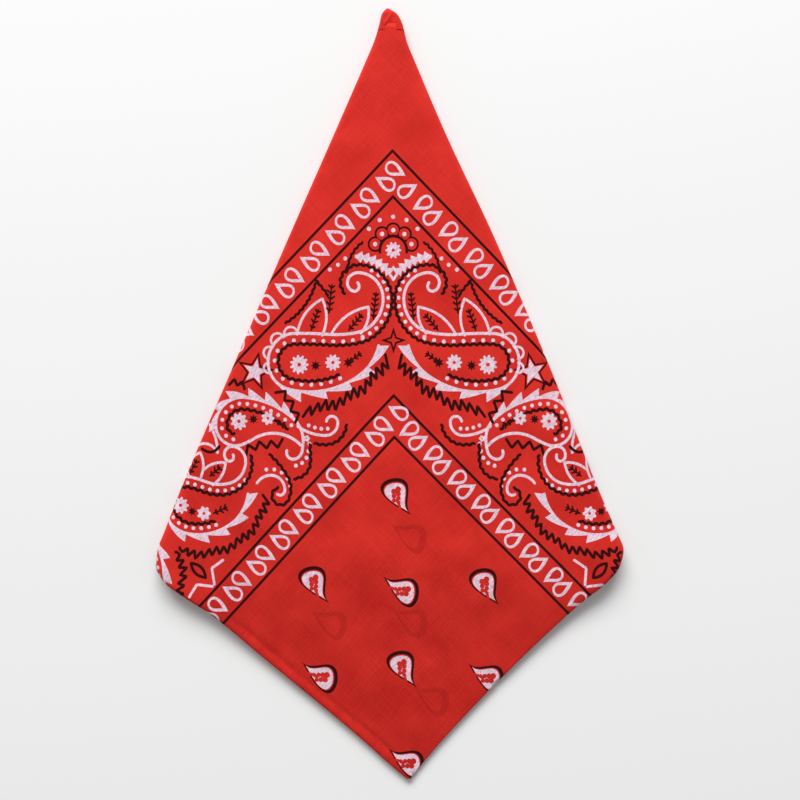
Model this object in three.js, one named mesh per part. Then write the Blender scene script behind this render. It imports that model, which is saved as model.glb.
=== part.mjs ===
// A square cotton bandana, folded in quarters with both side wedges folded behind,
// lying flat on a surface as a kite. Millimetres, +Z up from the surface.
// +Y runs from the cloth's own centre (the bottom vertex) to its four hemmed corners (the tip).
import * as THREE from 'three';

// Driving dimensions
const clothSide = 540; // finished square before folding
const alongGive = 1.02; // the kite's long axis lies on the bias, so the cloth gives a little
const wall = 1; // one stretch of cloth that shows
const gap = 0.3; // between neighbouring stretches
const hemWidth = 6;
const hemThickness = 1.6; // the hem is turned twice, so it is three layers
const hemParting = 1; // between the two hemmed edges on the underside
const foldReturn = 2; // how far the front turns in past the bend of a fold
const shortReturn = 0.12; // what is left of that where two bends are stacked
const liftReach = 45; // how far in from an edge a lifted corner comes down
const backSpread = 30; // how far in from a stacked edge the back comes up to its full height
const tipY = 196;
const vertexY = -196;
const cornerStart = 184.5; // where the stacked hem corners take over from the folds
const cornerGap = 0.5;
const flapTop = 167; // above here the hems fill what is left between the folds
const hemTop = 178;
const hiddenStart = -165; // the inner layers run out just above the bottom vertex
const backTuckEnd = -74; // the back goes up under the flaps to here
const stepGap = 0.1; // run of a near-vertical step

// Ends of the folded wedges: at the side corners, and where their hems meet in the middle
const flapOuterEnd = { left: -90, right: -85 };
const flapInnerEnd = tipY - (clothSide / 2) * alongGive;

// Where each fold edge changes its make, from one piece turned under to two bends stacked
const foldChange = {
  left: { whole: -180, stacked: -186, backReaches: -190 },
  right: { whole: -87, stacked: -98, backReaches: -103 },
};

// Outline and heights, one row for each cross-section along the kite.
// lift is the height of an edge's underside, fold the thickness of its bend, crown the top in the
// middle, and backLift how far the back's underside is held up between its edges.
const sectionColumns = [
  'along', 'left', 'right', 'liftLeft', 'foldLeft', 'liftRight', 'foldRight', 'crown', 'backLift',
];
const sectionRows = [
  [-196, 8.6, 10.6, 0, 2.6, 0, 2.6, 2.6, 0],
  [-190, 1.6, 15, 0, 3, 0, 2.8, 3, 0],
  [-171, -20, 31.4, 0.1, 3.4, 0.1, 2.9, 3.4, 0],
  [-135, -63.4, 66.2, 0.8, 3.8, 0.7, 3.1, 4.2, 0.4],
  [-111, -92.2, 91.4, 2, 4.9, 1.6, 3.8, 5.3, 1.6],
  [-103, -104.4, 100.6, 2.6, 5.5, 2.2, 4.8, 5.8, 2.1],
  [-95, -114.6, 110.2, 2.8, 5.9, 2.6, 5.6, 6.1, 2.4],
  [-87, -118.4, 116.6, 2.6, 6.1, 2.8, 5.9, 6.2, 2.5],
  [-79, -117.8, 118.4, 2, 5.9, 2.6, 6.1, 6.2, 2.5],
  [-70, -114.6, 115, 1.4, 5.7, 1.8, 5.8, 6, 2.5],
  [-46, -105.4, 105, 0.5, 5.4, 0.6, 5.4, 5.8, 2.5],
  [17, -78.6, 80, 0.2, 5.2, 0.2, 5.2, 5.6, 2.5],
  [80.6, -51.2, 52.7, 0.2, 5.1, 0.2, 5.1, 5.5, 2.5],
  [131.3, -28.9, 28.9, 0.2, 5.2, 0.2, 5.2, 5.5, 2.5],
  [169.4, -12.3, 12.6, 0.2, 5.6, 0.2, 5.6, 5.9, 2.5],
  [180, -7.8, 8.3, 0.2, 6, 0.2, 6, 6.4, 2.5],
  [188, -5.4, 6.4, 0.3, 6.2, 0.3, 6, 6.6, 2.5],
  [193, -4.2, 3.8, 0.5, 5.6, 0.5, 5, 6.2, 2.5],
  [196, -2, -0.4, 1.4, 2.4, 1.4, 2.2, 3.8, 2.5],
];

// Soft troughs (negative heights) and ridges of the front, placed by their middles
const creaseColumns = ['x', 'y', 'degrees', 'halfLength', 'halfWidth', 'height'];
const creaseRows = [
  [-28, -150, -40, 62, 7, -0.7], // trough inside the rolled lower left edge
  [-88, -98, -28, 22, 9, -0.9], // hollow behind the left corner
  [92, -97, 40, 20, 9, -0.7], // hollow behind the right corner
  [-2, 160, -40, 9, 4, -0.3], // short crease across the tip
  [8, -128, 78, 40, 16, 0.45], // the field stands a little along its middle
  [46, -122, 52, 34, 9, -0.35],
  [-46, -62, 24, 38, 12, 0.4],
  [60, -36, -32, 34, 12, 0.4],
  [-34, 40, 58, 46, 10, -0.35],
  [38, 62, -60, 44, 10, -0.3],
  [0, 40, 90, 130, 9, 0.5], // ridge over the hems behind
];

// Even steps from one place to another, both ends included
function stepped(from, to, step) {
  const count = Math.max(1, Math.round((to - from) / step));
  return Array.from({ length: count + 1 }, (_, i) => from + ((to - from) * i) / count);
}

// Fractions from 0 to 1, closer together near the ends
function fractions(count) {
  const crowding = 0.55;
  return stepped(0, 1, 1 / count).map((even) => {
    const crowded = (1 - Math.cos(Math.PI * even)) / 2;
    return THREE.MathUtils.lerp(even, crowded, crowding);
  });
}

// Cross-sections of the front: closer together round the side corners
const stations = [
  ...stepped(vertexY, -111, 7.7),
  -108, -103, -98, -93, -90, -87, -83, -79, -73, -68,
  ...stepped(-63, cornerStart - cornerGap, 11),
];
const topColumns = fractions(20);
const bendSteps = 5;
const stackedBendEnd = 170; // degrees round the bend, where the front ends above a second bend

// A smooth curve through one column's values that never swings past them
function curveThrough(places, values) {
  const last = places.length - 1;
  const slopes = places.slice(1).map((x, i) => (values[i + 1] - values[i]) / (x - places[i]));
  const tangents = values.map((_, i) => {
    if (i === 0) return slopes[0];
    if (i === last) return slopes[last - 1];
    const [before, after] = [slopes[i - 1], slopes[i]];
    return before * after <= 0 ? 0 : (2 * before * after) / (before + after);
  });
  return (at) => {
    let i = 0;
    while (i < last - 1 && at > places[i + 1]) i += 1;
    const span = places[i + 1] - places[i];
    const t = THREE.MathUtils.clamp((at - places[i]) / span, 0, 1);
    const eased = t * t * (3 - 2 * t);
    const leaving = span * tangents[i] * t * (1 - t) ** 2;
    const arriving = span * tangents[i + 1] * t * t * (1 - t);
    return values[i] * (1 - eased) + values[i + 1] * eased + leaving - arriving;
  };
}

function ramp(from, to, at) {
  return THREE.MathUtils.smoothstep((at - from) / (to - from), 0, 1);
}

const alongs = sectionRows.map((row) => row[0]);
const sectionCurves = sectionColumns.map((_, c) => curveThrough(alongs, sectionRows.map((row) => row[c])));
const creases = creaseRows.map((row) => Object.fromEntries(row.map((v, c) => [creaseColumns[c], v])));

// One edge of a cross-section: inward is +1 where the cloth lies towards +X. whole is 1 where one
// piece turns under and 0 where two bends are stacked; backOut is 1 where the back reaches the edge.
function edgeOf(side, x, lift, fold, halfWidth, along) {
  const change = foldChange[side];
  return {
    x,
    inward: side === 'left' ? 1 : -1,
    lift,
    up: fold / 2,
    across: Math.min(fold / 2, 0.8 * halfWidth),
    whole: ramp(change.stacked, change.whole, along),
    backOut: 1 - ramp(change.backReaches, change.stacked, along),
  };
}

function sectionAt(along) {
  const s = Object.fromEntries(sectionColumns.map((name, c) => [name, sectionCurves[c](along)]));
  const halfWidth = (s.right - s.left) / 2;
  s.along = along;
  s.edges = {
    left: edgeOf('left', s.left, s.liftLeft, s.foldLeft, halfWidth, along),
    right: edgeOf('right', s.right, s.liftRight, s.foldRight, halfWidth, along),
  };
  return s;
}

function creaseHeight(x, y) {
  return creases.reduce((sum, c) => {
    const turn = THREE.MathUtils.degToRad(c.degrees);
    const on = ((x - c.x) * Math.cos(turn) + (y - c.y) * Math.sin(turn)) / c.halfLength;
    const off = ((y - c.y) * Math.cos(turn) - (x - c.x) * Math.sin(turn)) / c.halfWidth;
    return sum + c.height * Math.exp(-(off ** 2) - on ** 4);
  }, 0);
}

// Top of the front between the two bends, t from 0 at the left bend to 1 at the right,
// and the same moved down by inset
function frontTop(s, t, inset = 0) {
  const { left, right } = s.edges;
  const x = THREE.MathUtils.lerp(left.x + left.across, right.x - right.across, t);
  const edgeTop = THREE.MathUtils.lerp(s.liftLeft + s.foldLeft, s.liftRight + s.foldRight, t);
  const plateau = 1 - (2 * t - 1) ** 4;
  const z = edgeTop + plateau * (s.crown - edgeTop + creaseHeight(x, s.along));
  return new THREE.Vector3(x, s.along, z - inset);
}

// Height of the underside where it would rest, raised towards lifted corners
function underside(s, x) {
  const { left, right } = s.edges;
  const nearLeft = 1 - ramp(left.across, liftReach, x - left.x);
  const nearRight = 1 - ramp(right.across, liftReach, right.x - x);
  return left.lift * nearLeft + right.lift * nearRight;
}

// Underside of the back, which lies on the flaps' ends and comes down to the surface below them
function backBottom(s, x) {
  const edges = Object.values(s.edges);
  const held = edges.reduce((part, e) => {
    const spread = ramp(0, backSpread, Math.abs(x - e.x));
    return part * (e.whole + (1 - e.whole) * spread);
  }, s.backLift);
  const curl = edges.reduce((sum, e) => {
    const past = Math.max(0, e.across - Math.abs(x - e.x)) / e.across;
    return sum + e.backOut * e.up * (1 - Math.sqrt(Math.max(0, 1 - past ** 2)));
  }, 0);
  return underside(s, x) + held + curl;
}

// A point on the bend of a fold: 90 degrees is its top, 180 its outermost line, 270 its bottom
function bendPoint(s, edge, degrees, inset) {
  const turn = THREE.MathUtils.degToRad(degrees);
  const across = Math.max(edge.across - inset, shortReturn);
  const up = Math.max(edge.up - inset, shortReturn);
  const x = edge.x + edge.inward * (edge.across + across * Math.cos(turn));
  return new THREE.Vector3(x, s.along, edge.lift + edge.up + up * Math.sin(turn));
}

// The front's turn round one edge, from its free end under the cloth up to the top of the bend
function frontTurn(s, edge, inset) {
  const lowest = THREE.MathUtils.lerp(stackedBendEnd, 270, edge.whole);
  const bend = Array.from({ length: bendSteps }, (_, i) => (
    bendPoint(s, edge, THREE.MathUtils.lerp(lowest, 90, i / bendSteps), inset)
  ));
  const turn = THREE.MathUtils.degToRad(lowest);
  const reach = shortReturn + foldReturn * edge.whole ** 2;
  const end = bend[0].clone();
  end.x -= edge.inward * Math.sin(turn) * reach;
  end.z = Math.max(end.z + Math.cos(turn) * reach, edge.lift + inset);
  return [end, ...bend];
}

function frontProfile(s, inset) {
  return [
    ...frontTurn(s, s.edges.left, inset),
    ...topColumns.map((t) => frontTop(s, t, inset)),
    ...frontTurn(s, s.edges.right, inset).reverse(),
  ];
}

// Rows of points, one for each place along the kite
function grid(places, profile) {
  return places.map((along) => profile(sectionAt(along)));
}

function signedVolume(points, index) {
  let volume = 0;
  for (let i = 0; i < index.length; i += 3) {
    const [a, b, c] = [points[index[i]], points[index[i + 1]], points[index[i + 2]]];
    volume += a.dot(b.clone().cross(c)) / 6;
  }
  return volume;
}

// A closed solid between two grids of the same size, joined round their borders
function slab(name, outer, inner, material) {
  const [rows, columns] = [outer.length, outer[0].length];
  const points = [...outer.flat(), ...inner.flat()];
  const at = (layer, row, column) => (layer * rows + row) * columns + column;
  const index = [];
  const quad = (a, b, c, d) => index.push(a, b, c, a, c, d);
  for (let r = 0; r < rows - 1; r += 1) {
    for (let c = 0; c < columns - 1; c += 1) {
      quad(at(0, r, c), at(0, r, c + 1), at(0, r + 1, c + 1), at(0, r + 1, c));
      quad(at(1, r, c), at(1, r + 1, c), at(1, r + 1, c + 1), at(1, r, c + 1));
    }
    quad(at(0, r, 0), at(0, r + 1, 0), at(1, r + 1, 0), at(1, r, 0));
    const end = columns - 1;
    quad(at(0, r, end), at(1, r, end), at(1, r + 1, end), at(0, r + 1, end));
  }
  for (let c = 0; c < columns - 1; c += 1) {
    quad(at(0, 0, c), at(1, 0, c), at(1, 0, c + 1), at(0, 0, c + 1));
    const end = rows - 1;
    quad(at(0, end, c), at(0, end, c + 1), at(1, end, c + 1), at(1, end, c));
  }
  if (signedVolume(points, index) < 0) index.reverse();
  const geometry = new THREE.BufferGeometry().setFromPoints(points);
  geometry.setIndex(index);
  geometry.computeVertexNormals();
  const mesh = new THREE.Mesh(geometry, material);
  mesh.name = name;
  return mesh;
}

// Printed cotton shows on the outside, the plain hems and tip are the same cloth without a print
const printedCotton = new THREE.MeshStandardMaterial({ color: 0xcf2f28, roughness: 0.92, metalness: 0 });
const plainCotton = new THREE.MeshStandardMaterial({ color: 0xd7322c, roughness: 0.95, metalness: 0 });

// Front: the printed top layer, turned under at both side folds and at the rolled lower left fold
function frontLayer() {
  const outer = grid(stations, (s) => frontProfile(s, 0));
  const inner = grid(stations, (s) => frontProfile(s, wall));
  return slab('front_layer', outer, inner, printedCotton);
}

// Inner end of the front's return, and the hem's outer line, on one side of the middle
function returnEnd(edge) {
  return edge.x + edge.inward * (edge.across + foldReturn + shortReturn + gap);
}

function hemLine(edge) {
  const widest = hemParting / 2 + hemWidth;
  return -edge.inward * Math.min(widest, Math.abs(returnEnd(edge)));
}

// One folded-behind wedge: its outer layer, thicker where its own lower fold turns up.
// Its lower end slants from the side corner to the middle.
function flap(side) {
  const start = flapOuterEnd[side];
  const slant = flapInnerEnd - start;
  const places = [
    start,
    ...stations.filter((along) => along > start + 1 && along < backTuckEnd - 1),
    backTuckEnd, backTuckEnd + stepGap,
    ...stations.filter((along) => along > backTuckEnd + 2 && along < flapTop - 4),
    flapTop,
  ];
  const profile = (upper) => (row) => fractions(6).map((t) => {
    const nearEnd = Math.max(0, (backTuckEnd - row.along) / (backTuckEnd - start));
    const s = sectionAt(row.along + slant * t * nearEnd);
    const edge = s.edges[side];
    const x = THREE.MathUtils.lerp(returnEnd(edge), hemLine(edge) - edge.inward * gap, t);
    const rounding = row.along === start ? 0.4 : 0;
    const thickness = row.along <= backTuckEnd ? s.backLift - gap : wall;
    const rise = upper ? thickness - rounding : rounding;
    return new THREE.Vector3(x, s.along, underside(s, x) + rise);
  });
  return slab(`${side}_flap`, grid(places, profile(false)), grid(places, profile(true)), printedCotton);
}

// Hem of one wedge: the cloth's own edge, turned twice and stitched, beside the middle line
function hem(side) {
  const places = [
    ...stepped(flapInnerEnd, backTuckEnd, 3), backTuckEnd + stepGap,
    ...stepped(backTuckEnd + 6, flapTop, 14),
    ...stepped(flapTop + 4, hemTop, 4),
  ];
  const profile = (upper) => (s) => {
    const edge = s.edges[side];
    const inner = (-edge.inward * hemParting) / 2;
    return [0, 0.12, 0.5, 0.88, 1].map((t) => {
      const rounding = t === 0 || t === 1 ? 0.2 : 0;
      const z = upper ? hemThickness - rounding : rounding;
      return new THREE.Vector3(THREE.MathUtils.lerp(hemLine(edge), inner, t), s.along, z);
    });
  };
  return slab(`${side}_hem`, grid(places, profile(false)), grid(places, profile(true)), plainCotton);
}

// Back: the layer furthest from the front, which shows only below the flaps' ends
function backLayer() {
  const places = [...stations.filter((along) => along < backTuckEnd - 2), backTuckEnd];
  const endOf = (edge) => {
    const stacked = edge.x + edge.inward * 0.25 * edge.across;
    return THREE.MathUtils.lerp(returnEnd(edge), stacked, edge.backOut);
  };
  const columnsOf = (s) => {
    const [from, to] = [endOf(s.edges.left), endOf(s.edges.right)];
    const apart = Math.min(0.4, 0.02 * (to - from));
    const between = topColumns.map((t, i) => THREE.MathUtils.clamp(
      frontTop(s, t).x, from + apart * (i + 1), to - apart * (topColumns.length - i),
    ));
    return [from, ...between, to];
  };
  const lower = (s) => columnsOf(s).map((x) => new THREE.Vector3(x, s.along, backBottom(s, x)));
  const upper = (s) => lower(s).map((p) => {
    const bends = Object.values(s.edges).filter((e) => e.backOut > 0 && Math.abs(p.x - e.x) < e.across);
    const ceiling = Math.min(p.z + wall, ...bends.map((e) => e.lift + e.up - gap / 2));
    return p.setZ(ceiling);
  });
  return slab('back_layer', grid(places, lower), grid(places, upper), printedCotton);
}

// Hidden layers: the two inner quarters and the wedges' inner layers as one rounded solid
function hiddenLayers() {
  const inset = wall + gap;
  const sideInset = inset + 0.5; // the inner layers' own bends lie a little further in
  const step = backTuckEnd + stepGap + gap;
  const places = [
    hiddenStart,
    ...stations.filter((along) => along > hiddenStart + 3 && along < step - 2),
    step, step + stepGap,
    ...stations.filter((along) => along > step + 2 && along < cornerStart - 3),
    cornerStart - cornerGap,
  ];
  const bends = (s, side, angles) => angles.map((degrees) => {
    const edge = s.edges[side];
    return bendPoint(s, edge, degrees, sideInset + edge.up * (1 - edge.whole));
  });
  const upper = (s) => [
    ...bends(s, 'left', [170, 130]),
    ...topColumns.map((t) => frontTop(s, t, inset)),
    ...bends(s, 'right', [130, 170]),
  ];
  const lower = (s) => [
    ...bends(s, 'left', [190, 230]),
    ...(s.along <= step ? overBack(s, inset) : overFlaps(s, inset)),
    ...bends(s, 'right', [230, 190]),
  ];
  return slab('hidden_layers', grid(places, upper), grid(places, lower), plainCotton);
}

// Above the back, and a little higher at an edge where the back's own bend curls up
function overBack(s, inset) {
  const curlRoom = (edge) => 0.5 * Math.max(0, edge.up - inset) * (1 - edge.whole);
  const room = { 0: curlRoom(s.edges.left), 1: curlRoom(s.edges.right) };
  return topColumns.map((t) => {
    const { x } = frontTop(s, t);
    return new THREE.Vector3(x, s.along, backBottom(s, x) + inset + (room[t] ?? 0));
  });
}

// Above the flaps, with a shallow channel over the two hems
function overFlaps(s, inset) {
  const hemRoof = hemThickness + gap;
  const half = (edge) => {
    const hemEdge = hemLine(edge) - edge.inward * gap;
    const beside = fractions(8).map((t) => {
      const x = THREE.MathUtils.lerp(edge.x + edge.inward * edge.across, hemEdge, t);
      return new THREE.Vector3(x, s.along, underside(s, x) + inset);
    });
    return [...beside, new THREE.Vector3(hemEdge - edge.inward * stepGap, s.along, hemRoof)];
  };
  const middle = new THREE.Vector3(0, s.along, hemRoof);
  return [...half(s.edges.left), middle, ...half(s.edges.right).reverse()];
}

// Tip: the four hemmed corners, stacked and folded together into one thick rounded end
function hemCorner() {
  const angles = [170, 145, 118, 90];
  const half = (upper) => (s) => {
    const arc = (edge) => angles.map((a) => bendPoint(s, edge, upper ? a : 360 - a, 0));
    const [left, right] = [arc(s.edges.left), arc(s.edges.right)];
    const middle = left[angles.length - 1].clone().lerp(right[angles.length - 1], 0.5);
    middle.z = upper ? s.crown : 0.5 * Math.min(s.liftLeft, s.liftRight) + 0.1;
    return [...left, middle, ...right.reverse()];
  };
  const places = stepped(cornerStart, tipY, 1.3);
  return slab('hem_corner', grid(places, half(true)), grid(places, half(false)), plainCotton);
}

const group = new THREE.Group();
group.add(frontLayer(), flap('left'), flap('right'), hem('left'), hem('right'));
group.add(hemCorner(), backLayer(), hiddenLayers());
export default group;
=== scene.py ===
"""A square cotton bandana, folded into a flat kite: how it looks."""
import math

import bpy
import numpy as np
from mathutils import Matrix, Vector
from mathutils.geometry import delaunay_2d_cdt


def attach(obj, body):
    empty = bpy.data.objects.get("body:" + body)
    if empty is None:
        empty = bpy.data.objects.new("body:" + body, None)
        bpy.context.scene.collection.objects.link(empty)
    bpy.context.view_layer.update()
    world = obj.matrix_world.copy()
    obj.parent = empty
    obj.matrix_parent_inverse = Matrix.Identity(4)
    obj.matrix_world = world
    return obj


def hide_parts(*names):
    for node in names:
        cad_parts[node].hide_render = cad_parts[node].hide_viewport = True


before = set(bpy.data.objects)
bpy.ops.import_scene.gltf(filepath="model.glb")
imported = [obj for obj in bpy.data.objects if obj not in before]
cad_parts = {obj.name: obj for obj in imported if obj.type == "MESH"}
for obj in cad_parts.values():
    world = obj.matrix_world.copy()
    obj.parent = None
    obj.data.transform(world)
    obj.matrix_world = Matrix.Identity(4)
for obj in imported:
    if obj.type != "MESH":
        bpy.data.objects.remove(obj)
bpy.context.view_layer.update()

# The view is straight down on the bandana where it lies on a pale table.
# The top of the picture is +Y, and the picture's width is measured at the height of the cloth.
MM = 0.001
picture_span = 405.7 * MM
picture_middle = (5.1 * MM, -3.0 * MM)
camera_height = 0.65
cloth_height = 5 * MM
sensor = 36
view = bpy.data.objects.new("view", bpy.data.cameras.new("view"))
view.data.sensor_width = sensor
view.data.lens = sensor * (camera_height - cloth_height) / picture_span
view.location = (*picture_middle, camera_height)
bpy.context.collection.objects.link(view)
bpy.context.scene.camera = view


# The table is a plain pale top with a matt surface, one flat board that nothing is fixed to. It is wide
# enough to fill the picture from any side.
class Shade:
    """A socket that takes part in sums."""

    def __init__(self, finish, socket):
        self.finish = finish
        self.socket = socket

    def maths(self, operation, first, second):
        return self.finish.node("ShaderNodeMath", {"operation": operation}, {0: first, 1: second})

    def __add__(self, other):
        return self.maths("ADD", self, other)

    def __sub__(self, other):
        return self.maths("SUBTRACT", self, other)

    def __rsub__(self, other):
        return self.maths("SUBTRACT", other, self)

    def __mul__(self, other):
        return self.maths("MULTIPLY", self, other)

    __radd__ = __add__
    __rmul__ = __mul__


class Finish:
    """One material, with a matt surface."""

    def __init__(self, name, roughness, sheen=0.0):
        self.material = bpy.data.materials.new(name)
        self.material.use_nodes = True
        self.tree = self.material.node_tree
        self.surface = self.tree.nodes["Principled BSDF"]
        self.surface.inputs["Roughness"].default_value = roughness
        self.surface.inputs["Specular IOR Level"].default_value = 0.08
        self.surface.inputs["Sheen Weight"].default_value = sheen

    def feed(self, socket, value):
        if isinstance(value, Shade):
            self.tree.links.new(value.socket, socket)
        else:
            socket.default_value = value

    def node(self, kind, settings, inputs, output=0):
        made = self.tree.nodes.new(kind)
        for name, value in settings.items():
            setattr(made, name, value)
        for name, value in inputs.items():
            self.feed(made.inputs[name], value)
        return Shade(self, made.outputs[output])

    def blend(self, share, first, second):
        """One colour over another. A Mix node takes its two colours at its sockets 6 and 7."""
        under, over = [(*colour, 1) if isinstance(colour, tuple) else colour for colour in (first, second)]
        return self.node("ShaderNodeMix", {"data_type": "RGBA"}, {0: share, 6: under, 7: over}, 2)

    def noise(self, place, scale, detail=2.0):
        inputs = {"Vector": place, "Scale": scale, "Detail": detail}
        return self.node("ShaderNodeTexNoise", {}, inputs)

    def stretched(self, place, amounts):
        """A place with its three measures scaled apart."""
        return self.node("ShaderNodeVectorMath", {"operation": "MULTIPLY"}, {0: place, 1: amounts})


def piece(name, points, faces, finish):
    """A smooth mesh from points in millimetres."""
    mesh = bpy.data.meshes.new(name)
    mesh.from_pydata((np.asarray(points) * MM).tolist(), [], faces)
    mesh.polygons.foreach_set("use_smooth", [True] * len(faces))
    mesh.materials.append(finish.material)
    mesh.update()
    made = bpy.data.objects.new(name, mesh)
    bpy.context.collection.objects.link(made)
    return made


table_finish = Finish("table", 0.7)
table_finish.surface.inputs["Base Color"].default_value = (0.80, 0.803, 0.80, 1)
table_reach = 2500
table = piece(
    "table",
    [(x * table_reach, y * table_reach, 0) for x, y in [(-1, -1), (1, -1), (1, 1), (-1, 1)]],
    [(0, 1, 2, 3)],
    table_finish,
)

# The light is a wide window beyond the tip of the kite, with pale walls all round it.
# It leaves a soft shadow along the two lower edges.
window = bpy.data.objects.new("window", bpy.data.lights.new("window", "AREA"))
window.data.shape = "RECTANGLE"
window.data.size = 3.2
window.data.size_y = 1.5
window.data.energy = 190
window.location = (-0.35, 2.9, 1.9)
window.rotation_euler = Vector(window.location).to_track_quat("Z", "Y").to_euler()
bpy.context.collection.objects.link(window)
walls = bpy.data.worlds.new("walls")
walls.use_nodes = True
walls.node_tree.nodes["Background"].inputs["Color"].default_value = (1, 1, 1, 1)
walls.node_tree.nodes["Background"].inputs["Strength"].default_value = 0.36
bpy.context.scene.world = walls
bpy.context.scene.view_settings.view_transform = "Standard"

# The print is white and dark ink on the face of the cloth: a band of paisleys between ruled lines and rows
# of drops, round a field of spots. It is laid out flat with compass arcs and plain formulas, as complex
# numbers: millimetres from the middle of the cloth, the real part across the kite, the imaginary up it.
GROUND, WHITE, BLACK, GHOST = 0, 1, 2, 3
pen = 1.35  # the width of most of its lines
fine = 0.85  # the space between the points of a curve


def even(path, step=fine):
    """A path with its points at even distances."""
    path = np.asarray(path, complex)
    run = np.concatenate([[0], np.cumsum(abs(np.diff(path)))])
    at = np.linspace(0, run[-1], max(2, round(run[-1] / step) + 1))
    return np.interp(at, run, path.real) + 1j * np.interp(at, run, path.imag)


def arcs(start, degrees, bends):
    """A stroke of compass arcs. Each bend is its radius and how far it turns, to the left if positive."""
    path = [np.array([start])]
    ahead = np.exp(1j * math.radians(degrees))
    for radius, turn in bends:
        here = path[-1][-1]
        middle = here + 1j * ahead * math.copysign(radius, turn)
        steps = max(2, round(radius * math.radians(abs(turn)) / fine))
        sweep = np.radians(turn) * np.arange(1, steps + 1) / steps
        path.append(middle + (here - middle) * np.exp(1j * sweep))
        ahead = ahead * np.exp(1j * math.radians(turn))
    return even(np.concatenate(path))


def bowed(start, end, rise=0.0):
    """A stroke between two points that bows to its left by a share of its span."""
    t = np.linspace(0, 1, 15)
    return even(start + (end - start) * (t + 4j * rise * t * (1 - t)))


def heading(path):
    """Which way a path goes, at each of its points."""
    ahead = np.gradient(path)
    return ahead / abs(ahead)


def beside(path, distance):
    """A path moved to its left."""
    return path + 1j * heading(path) * distance


def part(path, start, end):
    """What lies between two shares of a path's length."""
    last = len(path) - 1
    return path[round(start * last):round(end * last) + 1]


def rippled(path, pitch=3.4, depth=0.42):
    """A path that waves to and fro."""
    step = 0.6
    path = even(path, step)
    run = np.arange(len(path)) * step
    return path + 1j * heading(path) * depth * np.sin(run * math.tau / pitch)


def zigzag(path, pitch, depth, lean=0.0):
    """Straight strokes to and fro across a path, some longer than others."""
    path = even(path, pitch / 2)
    side = np.where(np.arange(len(path)) % 2, 1, -1) * depth / 2
    size = 0.75 + 0.25 * np.sin(np.arange(len(path)) * 2.3)
    return even(path + heading(path) * (1j + lean) * side * size, 0.65)


def drop_outline(length, width, bend, sides=24, taper=1.2):
    """A drop whose point lies ahead and leans to one side."""
    span = 1.45  # of the tapered sine, from side to side
    angle = np.arange(sides) * math.tau / sides
    x = np.cos(angle) * length / 2
    y = width / span * np.sin(angle) * np.abs(np.sin(angle / 2)) ** taper
    return x + 1j * (y - bend * (x / length + 0.5) ** 3)


class Block:
    """One printing block: outlines with their ink, in the order that they are pressed."""

    def __init__(self):
        self.marks = []

    def fill(self, ink, outline):
        self.marks.append((np.asarray(outline, complex), ink))

    def line(self, ink, path, width=pen):
        """A pen line with round ends."""
        side = 0.5j * heading(path) * width
        turn = np.exp(-1j * np.radians([45, 90, 135]))
        ends = path[-1] + side[-1] * turn, path[0] - side[0] * turn
        self.fill(ink, np.concatenate([path + side, ends[0], (path - side)[::-1], ends[1]]))

    def spot(self, ink, middle, radius, sides=9):
        """A round mark."""
        self.fill(ink, middle + radius * np.exp(1j * np.arange(sides) * math.tau / sides))

    def dots(self, path, spacing, radius=1.05):
        """A row of white dots."""
        for middle in even(path, spacing):
            self.spot(WHITE, middle, radius)

    def flower(self, middle, radius, petals=9):
        """A white flower with an open heart."""
        angle = np.arange(petals * 6) * math.tau / (petals * 6)
        reach = radius * (0.88 + 0.12 * np.tanh(3 * np.cos(petals * angle)))
        self.fill(WHITE, middle + reach * np.exp(1j * angle))
        self.spot(GROUND, middle, radius * 0.22, 7)

    def star(self, middle, radius, points=7, inner=0.5):
        """A dark star."""
        angle = np.arange(points * 2) * math.pi / points
        reach = radius * np.where(np.arange(points * 2) % 2, inner, 1)
        self.fill(BLACK, middle + reach * np.exp(1j * angle))

    def fern(self, root, tip, pairs, reach=2.6):
        """A stem with short leaves on both sides."""
        self.line(BLACK, even([root, tip], 1), 0.9)
        ahead = (tip - root) / abs(tip - root)
        for i in range(pairs):
            at = root + (tip - root) * (i + 0.4) / pairs
            size = reach * math.sin(math.pi * (0.25 + 0.6 * i / pairs))
            for turn in (50, -50):
                leaf = at + size * ahead * np.exp(1j * math.radians(turn))
                self.line(BLACK, np.array([at, (at + leaf) / 2, leaf]), 0.95)

    def petal(self, first, tip, last):
        """An outlined leaf between two roots, with a fern in it."""
        rise = 0.12
        self.line(WHITE, bowed(first, tip, rise), 1.3)
        self.line(WHITE, bowed(tip, last, rise), 1.3)
        root = (first + last) / 2
        pairs = round(abs(tip - root) / 4.4)
        self.fern(root + (tip - root) * 0.12, root + (tip - root) * 0.7, pairs, 2.2)

    def leafy(self, path, depths, hook=1.5):
        """A solid leaf that follows a path, with teeth along its right side."""
        thin = 0.5
        share = np.linspace(0, len(depths) - 1e-6, len(path))
        rise = share % 1
        depth = np.array(depths)[share.astype(int)]
        reach = thin + (depth - thin) * rise**1.3
        outer = path + heading(path) * (hook * rise**2 - 1j * reach)
        self.fill(WHITE, np.concatenate([path, outer[::-1]]))

    def jagged_leaf(self, middle, radius, turned):
        """A pointed white leaf in a dark outline."""
        angle = np.arange(10) * math.pi / 5 + math.radians(turned)
        reach = np.tile([1, 0.42], 5) * np.exp(1j * angle)
        for ink, size in ((BLACK, 1.6), (GROUND, 1.22), (WHITE, 1)):
            self.fill(ink, middle + radius * size * reach)

    def scallops(self, path, shares, sizes):
        """Small arches that stand on the right side of a path."""
        for share, size in zip(shares, sizes):
            i = round(share * (len(path) - 1))
            up = -1j * heading(path)[i]
            arch = path[i] + size * up * np.exp(1j * np.radians(np.linspace(-105, 105, 14)))
            self.line(WHITE, arch, 1.15)


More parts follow.
